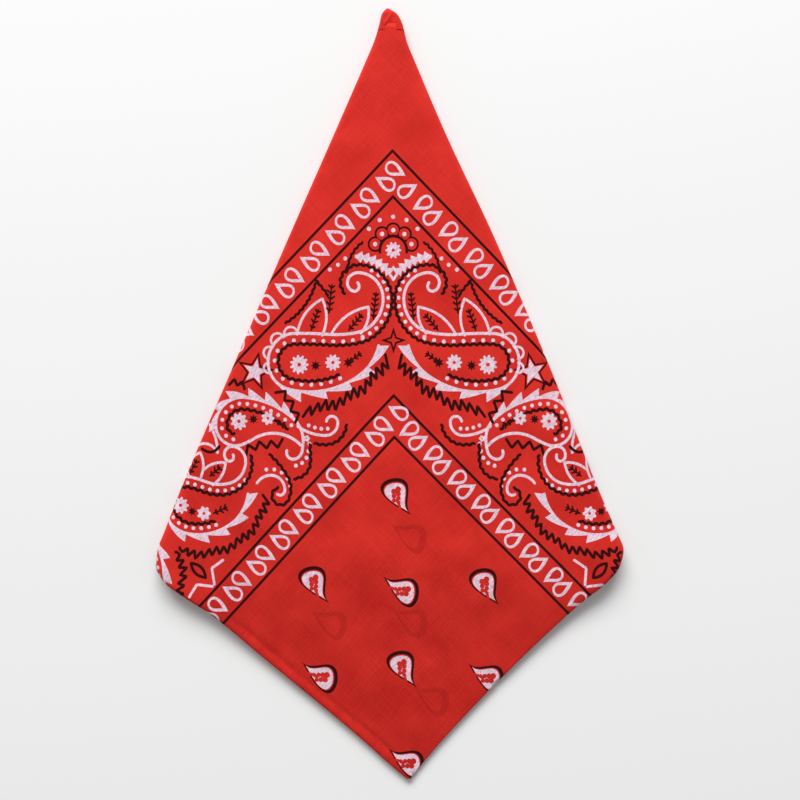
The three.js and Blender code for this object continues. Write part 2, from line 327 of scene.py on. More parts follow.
def on_side(across, along):
    """A place by its distances from the cloth's two middle lines, on the left half."""
    return (along - across + 1j * (along + across)) * math.sqrt(0.5)


def mirrored(z):
    """The same place on the other half of the kite."""
    return -np.conj(z)


def across_fold(z):
    """The same place beyond the cloth's middle line on the left."""
    return -1j * np.conj(z)


# Four dark ruled lines go round the cloth as squares, two near its edge and two round the field. A row of
# white drops with open hearts is pressed between each two, each drop turned about from the last.
borders = Block()
past = -34  # how far they are drawn beyond the cloth's middle lines
for ruled in (220, 204, 134.5, 120):  # from the middle of the cloth
    near, far = ruled - pen / 2, ruled + pen / 2
    corners = [(past, far), (far, far), (far, past), (near, past), (near, near), (past, near), (past, far)]
    turns = [on_side(b, a) for a, b in corners]
    sides = [even([a, b], 2)[:-1] for a, b in zip(turns, turns[1:])]
    borders.fill(BLACK, np.concatenate(sides))
drop_lean = np.exp(1j * math.radians(-12))
drop_shape = drop_outline(11.3, 7, 2.4)
drop_heart = drop_shape * 0.62 - 1
# 'row', 'pitch', 'first', 'on the right', 'which way the first lies'
for row, pitch, first, on_right_side, first_way in [
    (212, 9.3, -2.8, False, 1), (212, 9.3, 11.5, True, -1),
    (127.5, 9, -2.4, False, -1), (127.5, 8.5, 9.9, True, 1),
]:
    for i in range(int((row + 30) / pitch)):
        way = (-1) ** i * first_way
        middle = on_side(row + 0.6 * way, row - first - i * pitch)
        for ink, shape in ((WHITE, drop_shape), (GROUND, drop_heart)):
            outline = middle + way * drop_lean * shape
            borders.fill(ink, mirrored(outline) if on_right_side else outline)

# The field's spots are solid white drops in a dark outline, with a sprig left open in the red of the cloth.
# They are pressed one by one, half of them upright and half lying across the kite.
spot_block = Block()
spot_lean = np.exp(1j * math.radians(-80))
for ink, size in ((BLACK, 1.17), (GROUND, 0.96), (WHITE, 0.88)):
    spot_block.fill(ink, spot_lean * drop_outline(17 * size, 14 * size, -5.4 * size, 32, 2.1))
for i in range(7):
    spot_block.spot(GROUND, 1.15 * (-1) ** i + 1j * (4.4 - 1.1 * i), 1.55 - 0.08 * i)
spot_block.line(GROUND, bowed(0 - 1j, 1.8 - 5.4j, 0.1), 1.4)


def upright(z):
    return z


def lying(z):
    return 1j * np.conj(z)


shared_spots, front_spots = [], []  # only the first are printed on the back quarter too
for middle, turned in [
    (0 + 7.5j, lying), (-43.5 + 50.5j, lying), (0 + 54j, upright), (43 + 50j, lying),
    (-44.5 + 96j, upright), (0 + 93.5j, lying), (44 + 95j, upright), (0 + 139.5j, upright),
]:
    pressed = [(middle + turned(outline), ink) for outline, ink in spot_block.marks]
    if middle.real > -40:
        shared_spots += pressed
    else:
        front_spots += pressed

# The corner sprig is a white flower under five dark arches, on the kite's middle line. The knot of its
# garland hangs below it, and a four-pointed star stands by itself under the two large paisleys' tails.
sprig = Block()
flower_at = 262j
arches = [flower_at + 9.9 * np.exp(1j * math.radians(angle)) for angle in (162, 126, 90, 54, 18)]
for ink, size in ((BLACK, 3.9), (GROUND, 2.9)):
    for arch in arches:
        sprig.spot(ink, arch, size, 18)
sprig.spot(GROUND, flower_at, 7, 24)
sprig.line(BLACK, flower_at + 7 * np.exp(1j * np.radians(np.linspace(188, -8, 26))), 1.45)
for arch in arches:
    sprig.spot(WHITE, arch, 1.15)
sprig.flower(flower_at, 4.1, 10)
for angle in (140, 115, 90, 65, 40):
    sprig.spot(WHITE, flower_at + 16.5 * np.exp(1j * math.radians(angle)), 1.1)
knot_at, knot = 250.5j, np.array([-3, 4j, 3, -4j])
sprig.fill(WHITE, knot_at + knot)
sprig.fill(GROUND, knot_at + knot * 0.45)
star_at = 217.5j
sprig.star(star_at, 6.6, 4, 0.35)
sprig.fill(GROUND, star_at + 3.6 * np.exp(1j * np.arange(8) * math.pi / 4) * np.tile([1, 0.35], 4))

# The side of the band is drawn for the left half, and pressed again in mirror image for the right. Its
# first figures are one arm of the garland, with small teeth, and the dots and dark wave beyond it.
band = Block()
garland = bowed(-20 + 259j, -2 + 251j, 0.1)
tooth = (np.linspace(0, 5.99, len(garland)) % 1) ** 1.5 * 2.4
band.fill(WHITE, np.concatenate([beside(garland, 0.6 + tooth), beside(garland, -0.6 - tooth)[::-1]]))
band.dots(bowed(-25 + 258j, -33 + 252.5j, 0.05), 4.4)
band.line(BLACK, rippled(bowed(-16 + 266j, -24 + 251j, -0.12), 3, 0.3), 1.35)


def share_at(path, place):
    """How far along a path the point nearest to a place lies."""
    return np.argmin(abs(path - place)) / (len(path) - 1)


# A white jagged leaf in a dark outline stands at the left of the large paisley's head, with a short
# zigzag beyond it.
band.jagged_leaf(-72 + 202j, 6.4, 150)
band.line(BLACK, zigzag(bowed(-85 + 197j, -77 + 195j), 4.5, 4), 1.45)

# The large paisley is a white line whose tail rises to a scroll. Dots and a dark wave follow it inside,
# with flowers, stars and a fern in its head, and leaves, arches and a zigzag stand round it.
large = arcs(-18.5 + 246j, -45, [
    (2.5, -160), (4.5, -110), (6, -45), (13, -90), (17, -80), (60, -14), (200, 5),
    (14, 165), (45, 50), (25, 40),
])
scroll_end, throat = share_at(large, -12 + 250j), share_at(large, -16 + 220j)
foot = share_at(large, -26 + 195j)
band.line(WHITE, large, 1.45)
band.dots(beside(part(large, scroll_end, throat), 2.8), 4.1)
band.dots(beside(part(large, throat, foot), 3.5), 5.2)
around = part(large, 0.045, foot)
apart = np.minimum(3.5 + 0.03 * np.arange(len(around)), 5.3)
band.line(BLACK, rippled(beside(around, apart)), 1.55)
band.leafy(part(large, share_at(large, -60 + 196j), 1), (5.6, 4.6, 4.6, 4.6, 5.2))
top, cheek = share_at(large, -53 + 219j), share_at(large, -64 + 204j)
band.scallops(large, np.linspace(top, cheek, 4), (3.4, 3.4, 3, 2.5))
band.petal(-50 + 221j, -37 + 238j, -37 + 220j)
band.petal(-32 + 221j, -13 + 234j, -17 + 221j)
band.fern(-33.5 + 231j, -32 + 245j, 5)
band.fern(-10.5 + 228j, -9 + 241j, 5, 2.2)
band.line(BLACK, rippled(bowed(-56 + 226j, -40 + 247j, -0.1), 3, 0.3), 1.45)
band.line(BLACK, rippled(bowed(-40 + 247j, -34 + 240j), 3, 0.3), 1.45)
band.flower(-49 + 205.5j, 4.8, 11)
band.flower(-31.5 + 206.5j, 4.1, 10)
band.star(-40.5 + 205j, 2.8, 8)
band.star(-23.5 + 206.5j, 2.8)
band.fern(-23 + 207j, -17 + 211j, 3, 1.8)
band.line(BLACK, zigzag(bowed(-3 + 208j, -46 + 183j, 0.12), 4.1, 6.5, 0.5), 1.5)

# The second paisley is crowned with leaves along its back, and its tail ends in a hook. A scroll springs
# from its shoulder, and dark waves and zigzags fill the room round them.
second = arcs(-56 + 163j, 250, [
    (3.2, 110), (5, 80), (100, 2), (14, 58), (45, 35), (14, 95), (10, 110), (40, 10), (20, -75),
])
shoulder, low = share_at(second, -53 + 176j), share_at(second, -84 + 165j)
hook_end, hook_root = share_at(second, -52 + 159j), share_at(second, -48 + 167j)
band.line(WHITE, second, 1.45)
band.dots(beside(part(second, shoulder, low), 3.1), 4.2, 1)
band.line(BLACK, rippled(beside(part(second, shoulder, low), 5.9)), 1.55)
band.dots(beside(part(second, hook_end, hook_root), -3.3), 4)
band.leafy(part(second, shoulder, share_at(second, -92 + 174j)), (4.2, 4.8, 5, 5, 4.6, 4), 1.8)
band.flower(-80.5 + 177.5j, 4.4, 9)
band.flower(-65.5 + 179j, 3.4, 7)
band.star(-73 + 178.5j, 2.6, 8)
band.fern(-61.5 + 177.5j, -57 + 175.5j, 2, 2)
scroll = arcs(-50 + 175j, -35, [(25, 35), (6.5, 90), (3, 170)])
band.line(WHITE, scroll, 1.4)
band.dots(beside(part(scroll, 0.15, 0.5), 3.2), 4, 1)
band.flower(-45.5 + 169j, 1.7, 5)
band.line(BLACK, rippled(beside(part(scroll, 0.3, 0.72), -4.6), 3.4, 0.35), 1.55)
band.line(BLACK, rippled(arcs(-44 + 166j, 275, [(60, -8), (9, -85)]), 3.4, 0.35), 1.55)
band.line(BLACK, zigzag(bowed(-60 + 193j, -49 + 178j, 0.05), 6, 5), 1.5)
band.line(BLACK, zigzag(bowed(-78 + 162.5j, -58 + 167j, 0.05), 6, 5), 1.5)

# A small white scroll stands by itself under that hook, with dots above it and a dark wave that comes down
# and winds round its end.
small_scroll = arcs(-72 + 147j, 55, [(9, -55), (7, -95), (2.5, -120)])
band.line(WHITE, small_scroll, 1.4)
band.dots(beside(part(small_scroll, 0.25, 0.75), 3), 3.7, 1)
winding = arcs(-65 + 161j, -40, [(40, -20), (12, -60), (4.5, -150), (4, -80)])
band.line(BLACK, rippled(winding, 3.6, 0.3), 1.55)

# Between the second and third paisleys stands a small leaf: two white strokes that meet, with a dark
# stroke for its vein.
band.line(WHITE, bowed(-96 + 176j, -92 + 162j, 0.08), 1.3)
band.line(WHITE, bowed(-92 + 162j, -102 + 166j, -0.2), 1.3)
band.line(BLACK, bowed(-100 + 164j, -91 + 165j, -0.25), 1.5)

# The third paisley lies beside the middle line of the cloth, so its head goes round the folded edge. It is
# drawn as the large one is, a little smaller and with its tail curled tighter.
third = arcs(-84 + 161j, -60, [
    (2.2, -170), (4, -130), (7, -90), (11.5, -75), (20, -35), (80, 6), (12.5, 104),
    (16, 80), (30, 45), (22, 46),
])
tail, chin = share_at(third, -78 + 160j), share_at(third, -92 + 122j)
band.line(WHITE, third, 1.4)
band.dots(beside(part(third, share_at(third, -79 + 149j), chin), 3.1), 4, 1)
around = part(third, tail, chin)
apart = np.minimum(3 + 0.09 * np.arange(len(around)), 5.2)
band.line(BLACK, rippled(beside(around, apart)), 1.55)
band.leafy(part(third, share_at(third, -119 + 128j), 1), (4.4, 4.6, 4.6, 4.6, 5))
top, cheek = share_at(third, -110 + 148j), share_at(third, -121 + 135j)
band.scallops(third, np.linspace(top, cheek, 4), (2.6, 2.6, 2.4, 2.2))
band.petal(-114 + 150j, -101 + 162j, -101 + 150j)
band.petal(-100 + 153j, -88 + 157j, -95 + 146j)
band.flower(-112 + 136j, 4.2)
band.flower(-100 + 132j, 3.6, 7)
band.star(-106 + 133j, 2.4)
band.fern(-95 + 132j, -88 + 135j, 3, 2.2)
jagged = zigzag(beside(part(third, share_at(third, -112 + 121j), 1)[::-1], 9.5), 4, 5, 0.4)
short_of_line = jagged.real + jagged.imag > 1  # it stops before the cloth's middle line
band.line(BLACK, jagged[short_of_line], 1.5)

# A dark almond lies across the cloth's middle line, where two sides of the band meet, with a bent white
# line on each side of it.
almond_ends = on_side(142, 0), on_side(152, 0)
for rise in (0.21, -0.21):
    band.line(BLACK, bowed(*almond_ends, rise), 1.5)
band.line(WHITE, even([-91 + 109j, -97 + 105j, -96 + 97j]), 1.3)


def all_of(shapes, move):
    """The same shapes, each of them moved."""
    return [(move(outline), ink) for outline, ink in shapes]


# Faint through the thin cloth come spots that are printed on the layer beneath. The whole print is then
# put together: the left half, the same again across the fold, and both in mirror image.
ghosts = []
(outline, _), (hollow, _) = spot_block.marks[:2]
for middle in (5 + 120j, -38 + 77j, 4 + 78j, 14 + 39j):
    ghosts += [(middle + lying(outline), GHOST), (middle + lying(hollow) * 0.8, GROUND)]

half = band.marks + all_of(band.marks, across_fold)
marks = [*ghosts, *borders.marks, *shared_spots, *half, *all_of(half, mirrored), *sprig.marks]
back_marks = all_of(marks, across_fold)
marks += front_spots


def inside(outline, points):
    """Which points lie inside an outline, by how often it turns round them."""
    turns = np.zeros(len(points), int)
    ends = np.roll(outline, -1)
    batch = 4000
    for start in range(0, len(points), batch):
        p = points[start:start + batch, None]
        left = ((ends - outline).real * (p - outline).imag - (p - outline).real * (ends - outline).imag)
        up = (outline.imag <= p.imag) & (ends.imag > p.imag) & (left > 0)
        down = (ends.imag <= p.imag) & (outline.imag > p.imag) & (left < 0)
        turns[start:start + batch] = up.sum(1) - down.sum(1)
    return turns != 0


def cut_and_print(domain, points, shapes):
    """Triangles that cover a domain and follow the edges of its print, with each one's ink."""
    low = complex(domain.real.min(), domain.imag.min())
    high = complex(domain.real.max(), domain.imag.max())

    def touches(outline):
        return (outline.real.max() > low.real and outline.real.min() < high.real
                and outline.imag.max() > low.imag and outline.imag.min() < high.imag)

    shapes = [(outline, ink) for outline, ink in shapes if touches(outline)]
    loops = [domain] + [outline for outline, _ in shapes]
    edges, first = [], 0
    for loop in loops:
        count = np.arange(len(loop))
        edges.append(np.stack([first + count, first + np.roll(count, -1)], 1))
        first += len(loop)
    drawn = np.concatenate(loops)
    cell = 1.2  # no free point shares one with the drawing
    taken = set(zip(np.floor(drawn.real / cell).astype(int), np.floor(drawn.imag / cell).astype(int)))
    free = [p for p in points if (math.floor(p.real / cell), math.floor(p.imag / cell)) not in taken]
    every = [Vector((p.real, p.imag)) for p in [*drawn, *free]]
    made = delaunay_2d_cdt(every, np.concatenate(edges).tolist(), [], 0, 1e-5, False)
    corners = np.array([complex(*v) for v in made[0]])
    triangles = np.array(made[2])
    middles = corners[triangles].mean(1)
    kept = inside(domain, middles)
    triangles, middles = triangles[kept], middles[kept]
    ink = np.zeros(len(triangles), int)
    for outline, colour in shapes:
        near = np.flatnonzero((middles.real >= outline.real.min()) & (middles.real <= outline.real.max())
                              & (middles.imag >= outline.imag.min()) & (middles.imag <= outline.imag.max()))
        ink[near[inside(outline, middles[near])]] = colour
    used, triangles = np.unique(triangles, return_inverse=True)
    return corners[used], triangles.reshape(-1, 3), ink


# The cloth is plain-weave cotton, dyed red: matt, a little uneven in colour along its threads, and thin
# enough for the print of the layer beneath to show through. The inks lie in the threads.
deep_red, bright_red = (0.48, 0.0135, 0.0095), (0.74, 0.033, 0.023)
thin_white, full_white = (0.56, 0.41, 0.52), (0.95, 0.76, 0.85)
dark_ink, shown_through = (0.020, 0.0018, 0.0025), (0.25, 0.006, 0.006)
cotton_roughness, cotton_sheen = 0.92, 0.05


def cotton(name, printed=True):
    """Cotton whose threads follow the cut cloth, with the print on it or plain."""
    finish = Finish(name, cotton_roughness, cotton_sheen)
    if printed:
        cut = finish.node("ShaderNodeAttribute", {"attribute_name": "cut"}, {}, 1)
    else:
        place = finish.node("ShaderNodeTexCoord", {}, {}, 3)
        cut = finish.stretched(place, (1 / MM, 1 / MM, 1 / MM))
    warp = finish.noise(finish.stretched(cut, (0.05, 1.6, 1)), 1.0)
    weft = finish.noise(finish.stretched(cut, (1.6, 0.05, 1)), 1.0)
    cloud = finish.noise(cut, 0.045)
    grain = finish.noise(cut, 1.3, 1.0)
    mottled = 0.45 * warp + 0.45 * weft + 1.3 * cloud + 0.5 * grain - 1.35
    if printed:
        # painted shade: a little darker towards the middle of the cloth, at the bottom of the kite, where
        # less of the window's light falls
        painted_shade_from_middle = finish.node(
            "ShaderNodeVectorMath", {"operation": "DOT_PRODUCT"}, {0: cut, 1: (0.00134, 0.00134, 0)}, 1
        )
        tone = mottled + 0.24 + painted_shade_from_middle.maths("MINIMUM", painted_shade_from_middle, 0.4)
    else:
        tone = mottled + 0.57
    colour = finish.blend(tone, deep_red, bright_red)
    if printed:
        white, black, ghost = [
            finish.node("ShaderNodeAttribute", {"attribute_name": ink_name}, {}, 2)
            for ink_name in ("white", "black", "ghost")
        ]
        worn = finish.noise(cut, 1.1, 1.0)
        hatch = finish.noise(finish.stretched(cut, (0.35, 1.9, 1)), 1.0, 1.0)
        white_ink = finish.blend(hatch * 2.4 - 0.7, thin_white, full_white)
        colour = finish.blend(ghost * (0.2 + 0.16 * worn), colour, shown_through)
        colour = finish.blend(white * (0.80 + 0.3 * worn), colour, white_ink)
        colour = finish.blend(black * (0.93 + 0.1 * worn), colour, dark_ink)
    wave = {"Vector": cut, "Scale": 0.55, "Distortion": 0.6}
    threads, cross = [
        finish.node("ShaderNodeTexWave", {"bands_direction": direction}, wave, 1) for direction in "XY"
    ]
    rise = 0.5 * threads + 0.5 * cross + 1.3 * warp + 1.3 * weft + 2.6 * cloud
    bump = finish.node("ShaderNodeBump", {}, {"Height": rise, "Distance": 0.22 * MM, "Strength": 0.8})
    finish.feed(finish.surface.inputs["Base Color"], colour)
    finish.feed(finish.surface.inputs["Normal"], bump)
    return finish


printed_cotton = cotton("printed cotton")
plain_cotton = cotton("plain cotton", False)

# The front is the quarter of the cloth that shows from above. It runs smoothly over the layers inside and
# turns under at the folds: round all the layers at the sides and the lower left, and at the lower right
# as the upper of two stacked folds. It puffs up and lifts at both side corners.
# 'along', 'left', 'right', 'left lift', 'left fold', 'right lift', 'right fold', 'crown', 'back lift'
sections = np.array([
    (-196, 8.6, 10.6, 0, 2.6, 0, 2.6, 2.6, 0), (-190, 1.6, 15, 0, 3, 0, 2.8, 3, 0),
    (-171, -20, 31.4, 0.1, 3.4, 0.1, 2.9, 3.4, 0), (-135, -63.4, 66.2, 0.8, 3.8, 0.7, 3.1, 4.2, 0.4),
    (-111, -92.2, 91.4, 2, 4.9, 1.6, 3.8, 5.3, 1.6), (-103, -104.4, 100.6, 2.6, 5.5, 2.2, 4.8, 5.8, 2.1),
    (-95, -114.6, 110.2, 2.8, 5.9, 2.6, 5.6, 6.1, 2.4), (-87, -118.4, 116.6, 2.6, 6.1, 2.8, 5.9, 6.2, 2.5),
    (-79, -117.8, 118.4, 2, 5.9, 2.6, 6.1, 6.2, 2.5), (-70, -114.6, 115, 1.4, 5.7, 1.8, 5.8, 6, 2.5),
    (-46, -105.4, 105, 0.5, 5.4, 0.6, 5.4, 5.8, 2.5), (17, -78.6, 80, 0.2, 5.2, 0.2, 5.2, 5.6, 2.5),
    (80.6, -51.2, 52.7, 0.2, 5.1, 0.2, 5.1, 5.5, 2.5), (131.3, -28.9, 28.9, 0.2, 5.2, 0.2, 5.2, 5.5, 2.5),
    (169.4, -12.3, 12.6, 0.2, 5.6, 0.2, 5.6, 5.9, 2.5), (180, -7.8, 8.3, 0.2, 6, 0.2, 6, 6.4, 2.5),
    (188, -5.4, 6.4, 0.3, 6.2, 0.3, 6, 6.6, 2.5), (193, -4.2, 3.8, 0.5, 5.6, 0.5, 5, 6.2, 2.5),
    (196, -2, -0.4, 1.4, 2.4, 1.4, 2.2, 3.8, 2.5),
])
# Between these two heights each side's fold changes, from two stacked folds below to one round all layers
fold_changes = {"left": (-186, -180), "right": (-98, -87)}
# 'x', 'y', 'degrees', 'half length', 'half width', 'height'
creases = np.array([
    (-28, -150, -40, 62, 7, -0.7), (-88, -98, -28, 22, 9, -0.9), (92, -97, 40, 20, 9, -0.7),
    (-2, 160, -40, 9, 4, -0.3), (8, -128, 78, 40, 16, 0.45), (46, -122, 52, 34, 9, -0.35),
    (-46, -62, 24, 38, 12, 0.4), (60, -36, -32, 34, 12, 0.4), (-34, 40, 58, 46, 10, -0.35),
    (38, 62, -60, 44, 10, -0.3), (0, 40, 90, 130, 9, 0.5), (-98, -92, 35, 16, 6, -0.7),
    (97, -88, -30, 14, 6, -0.6), (-70, -78, -55, 20, 5, -0.35), (72, -84, 62, 18, 5, -0.3),
    (-12, -96, 8, 30, 5, -0.25), (24, -60, 70, 26, 5, -0.25), (-18, 96, 80, 24, 5, -0.25),
    (20, 120, -75, 20, 4, -0.2), (-58, -24, 64, 24, 4, -0.25), (52, 12, -66, 22, 4, -0.22),
])
# Along the lower left the roll stands up as a soft strip, with a trough just inside it
trough_from_edge, trough_half_width, trough_depth = 5.6, 1.7, 0.8
edge_slant = 0.72  # what a distance across the kite there is, measured square to the edge
# Where the print's middle line lies, from the bottom of the kite to its tip: 'along', 'x'
print_axis = np.array([
    (-196, 8), (-140, 6.1), (-100, 5), (-53, 3.2), (0, 1.9), (75, 1.7), (125, 1.3), (196, 0),
])
give_across, give_along = 0.976, 1.025  # the cloth lies on the bias and has given a little
print_foot = -195.7
front_top = 185.5


def curve(places, values):
    """A smooth curve through a column's values that never swings past them."""
    x, y = np.array(places, float), np.array(values, float)
    slope = np.diff(y) / np.diff(x)
    both = slope[:-1] * slope[1:]
    total = np.where(both > 0, slope[:-1] + slope[1:], 1)
    tangent = np.concatenate([slope[:1], np.where(both > 0, 2 * both / total, 0), slope[-1:]])

    def at(place):
        i = np.clip(np.searchsorted(x, place) - 1, 0, len(x) - 2)
        span = x[i + 1] - x[i]
        t = np.clip((place - x[i]) / span, 0, 1)
        eased = t * t * (3 - 2 * t)
        swing = span * t * (1 - t) * (tangent[i] * (1 - t) - tangent[i + 1] * t)
        return y[i] * (1 - eased) + y[i + 1] * eased + swing

    return at


def ramp(start, end, at):
    """An eased rise from 0 to 1."""
    t = np.clip((at - start) / (end - start), 0, 1)
    return t * t * (3 - 2 * t)


left_at, right_at, left_lift, left_fold, right_lift, right_fold, crown_at, back_lift = [
    curve(sections[:, 0], sections[:, i]) for i in range(1, 9)
]
axis_at = curve(print_axis[:, 0], print_axis[:, 1])


def whole_fold(side, y):
    """1 where a side's fold holds all the layers, and 0 where two folds are stacked."""
    return ramp(*fold_changes[side], y)


def crease_height(x, y, table=creases):
    """How much a table of creases raises or lowers the cloth."""
    total = 0
    for cx, cy, degrees, half_length, half_width, height in table:
        turn = math.radians(degrees)
        on = ((x - cx) * math.cos(turn) + (y - cy) * math.sin(turn)) / half_length
        off = ((y - cy) * math.cos(turn) - (x - cx) * math.sin(turn)) / half_width
        total = total + height * np.exp(-off**2 - on**4)
    return total


def on_table(flat):
    """Where a place on the flat print comes to lie, seen from above."""
    along = print_foot + give_along * flat.imag
    return axis_at(along) + give_across * flat.real + 1j * along


def on_cloth(place):
    """The place on the flat print that came to lie here."""
    return (place.real - axis_at(place.imag)) / give_across + 1j * (place.imag - print_foot) / give_along


# The edge of the kite, down its right side and up its left, with the facts of the fold at each point
rows = np.concatenate([
    np.linspace(front_top + 4, -60, 110), np.linspace(-62, -115, 44), np.linspace(-117, -196, 42),
])
edge = np.concatenate([right_at(rows) + 1j * rows, (left_at(rows) + 1j * rows)[::-1]])
on_right = np.arange(len(edge)) < len(rows)
edge_out = 1j * heading(edge)
for _ in range(3):
    edge_out[1:-1] = edge_out[:-2] + 2 * edge_out[1:-1] + edge_out[2:]
    edge_out = edge_out / abs(edge_out)
edge_fold = np.where(on_right, right_fold(edge.imag), left_fold(edge.imag))
edge_lift = np.where(on_right, right_lift(edge.imag), left_lift(edge.imag))
half_width = (right_at(edge.imag) - left_at(edge.imag)) / 2
edge_across = np.minimum(edge_fold / 2, 0.8 * half_width) * np.maximum(abs(edge_out.real), 0.55)
whole = np.where(on_right, whole_fold("right", edge.imag), whole_fold("left", edge.imag))
between_folds = 0.12  # half the gap between two stacked folds
bend_top = edge_lift + edge_fold
bend_low = edge_lift + (1 - whole) * (edge_fold / 2 + between_folds)
bend_line = edge - edge_out * edge_across
bend_rise = (bend_top - bend_low) / 2
half_turn = np.pi * (3 * (edge_across + bend_rise) - np.sqrt(
    (3 * edge_across + bend_rise) * (edge_across + 3 * bend_rise))) / 2  # half the way round an ellipse
front_return = 2.4 * whole + 0.8  # how far the front runs on below, past the half turn
seat = 0.12  # the stitches of the hems stand this much proud of the cloth beside them


def nearest(place):
    """The nearest point on the bend line: its index and the share past it."""
    starts, steps = bend_line[:-1], np.diff(bend_line)
    found, past = np.zeros(len(place), int), np.zeros(len(place))
    batch = 3000
    for first in range(0, len(place), batch):
        p = place[first:first + batch, None]
        t = np.clip(((p - starts) * np.conj(steps)).real / abs(steps) ** 2, 0, 1)
        gap = abs(p - starts - t * steps)
        best = gap.argmin(1)
        found[first:first + batch] = best
        past[first:first + batch] = t[np.arange(len(best)), best]
    return found, past


def mixed(values, nearby):
    """Values of the bend line at the nearest points on it."""
    i, past = nearby
    return values[i] * (1 - past) + values[i + 1] * past


def round_fold(place, turns, *heights):
    """Which places lie past the bend line, where they come to lie, and what the fold is like there."""
    outside = ~inside(bend_line, place)
    nearby = nearest(place[outside])
    foot, out, across, turn = [mixed(values, nearby) for values in (bend_line, edge_out, edge_across, turns)]
    run = abs(place[outside] - foot)
    angle = np.pi * np.minimum(run / turn, 1)
    bent = foot + out / abs(out) * (across * np.sin(angle) - np.maximum(run - turn, 0))
    return outside, bent, run, turn, angle, [mixed(values, nearby) for values in heights]


def lay_front(flat):
    """The front's surface in the kite, for places on the flat print."""
    place = on_table(flat)
    x, y = place.real, place.imag
    low_x = np.interp(y, bend_line[~on_right].imag, bend_line[~on_right].real)
    high_x = np.interp(y, bend_line[on_right][::-1].imag, bend_line[on_right][::-1].real)
    t = np.clip((x - low_x) / np.maximum(high_x - low_x, 0.1), 0, 1)
    side_top = (left_lift(y) + left_fold(y)) * (1 - t) + (right_lift(y) + right_fold(y)) * t
    plateau = 1 - (2 * t - 1) ** 4
    z = side_top + plateau * (crown_at(y) - side_top + crease_height(x, y))
    from_edge = (x - left_at(y)) * edge_slant
    in_trough = np.exp(-(((from_edge - trough_from_edge) / trough_half_width) ** 2))
    z = z - trough_depth * in_trough * ramp(-188, -178, y) * (1 - ramp(-122, -108, y))
    outside, bent, run, turn, angle, (top, low) = round_fold(place, half_turn, bend_top, bend_low)
    x[outside], y[outside] = bent.real, bent.imag
    z[outside] = low + (top - low) * (1 + np.cos(angle)) / 2 + seat * ramp(turn, turn + 2.5, run)
    return np.stack([x, y, z], 1)


def printed_sheet(name, cut_cloth, laid):
    """A printed sheet, from its flat cut and where the points of the cut come to lie."""
    flat, triangles, ink = cut_cloth
    made = piece(name, laid, triangles.tolist(), printed_cotton)
    mesh = made.data
    for ink_name, number in (("white", WHITE), ("black", BLACK), ("ghost", GHOST)):
        attribute = mesh.attributes.new(ink_name, "FLOAT", "FACE")
        attribute.data.foreach_set("value", (ink == number).astype(np.float32))
    cut = flat * np.exp(-1j * math.pi / 4)  # turned so that the threads run along its two measures
    attribute = mesh.attributes.new("cut", "FLOAT_VECTOR", "POINT")
    attribute.data.foreach_set("vector", np.stack([cut.real, cut.imag, 0 * cut.real], 1).ravel())
    span = np.array([np.ptp(cut.real), np.ptp(cut.imag)])
    low = np.array([cut.real.min(), cut.imag.min()])
    corner = np.stack([cut.real, cut.imag], 1)[triangles.ravel()]
    layer = mesh.uv_layers.new(name="OFBake")
    margin = 0.004
    layer.uv.foreach_set("vector", (margin + (1 - 2 * margin) * (corner - low) / span).ravel())
    return made


def cut_area(outline):
    """The flat area inside an outline on the cloth, in square metres."""
    ends = np.roll(outline, -1)
    return float(abs((np.conj(outline) * ends).imag.sum()) / 2 * MM**2)


rim = [bend_line + edge_out * (half_turn + front_return)]
below_top = edge.imag < front_top - 0.5
rings = [
    (bend_line + edge_out * half_turn * share)[below_top]
    for share in (0, 0.12, 0.25, 0.37, 0.5, 0.62, 0.75, 0.87, 1)
]
rings.append((bend_line + edge_out * (half_turn + front_return / 2))[below_top])
rolled = ~on_right & (edge.imag < -106)
rings += [(edge - edge_out * distance)[rolled] for distance in (3.8, 4.7, 5.6, 6.5, 7.4)]
spread = 2.7  # between the free points, which stand in rows of even triangles
inner_points = [
    x + 1j * y for i, y in enumerate(np.arange(-196, front_top, spread * 0.866))
    for x in np.arange(left_at(y) + 2.5 + spread / 2 * (i % 2), right_at(y) - 2.5, spread)
]
top_end = np.linspace(0, 1, 12)[1:-1]
border = rim[0][edge.imag < front_top]
closing = border[-1] + (border[0] - border[-1]) * top_end
domain = on_cloth(np.concatenate([border, closing]))
front_cut = cut_and_print(domain, on_cloth(np.concatenate([np.array(inner_points), *rings])), marks)
front = printed_sheet("front", front_cut, lay_front(front_cut[0]))
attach(front, "root")
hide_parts("front_layer")


# Folded behind are the front's own two side wedges, printed face down. Each runs from its side fold to
# the hem beside the middle line, and its lower end is a fold too, rounded and turned up inside.
flap_top, flap_foot = 178, -79.4
flap_low = {"left": -86, "right": -82}  # where their lower ends meet the side folds
end_radius = 0.85  # of the fold at a flap's lower end
hem_line = 6.4  # where their cloth ends in the hems, from the middle line


def underside(x, y):
    """How high the underside lies. It comes up towards both lifted side corners."""
    total = 0
    for side_x, lift in ((left_at(y), left_lift(y)), (right_at(y), right_lift(y))):
        total = total + lift * (1 - ramp(2.5, 45, abs(x - side_x)))
    return total


def turned_under(place, fold):
    """Places beyond a nearly straight fold, and where they lie once they are turned under, either way."""
    start, end = bend_line[fold[0]], bend_line[fold[-1]]
    ahead = (end - start) / abs(end - start)
    line = (bend_line[fold] - start) * np.conj(ahead)
    here = (place - start) * np.conj(ahead)
    bow = np.interp(here.real, line.real, line.imag)
    turn = np.interp(here.real, line.real, half_turn[fold])
    return start + ahead * (here.real + 1j * (2 * bow + turn - here.imag))


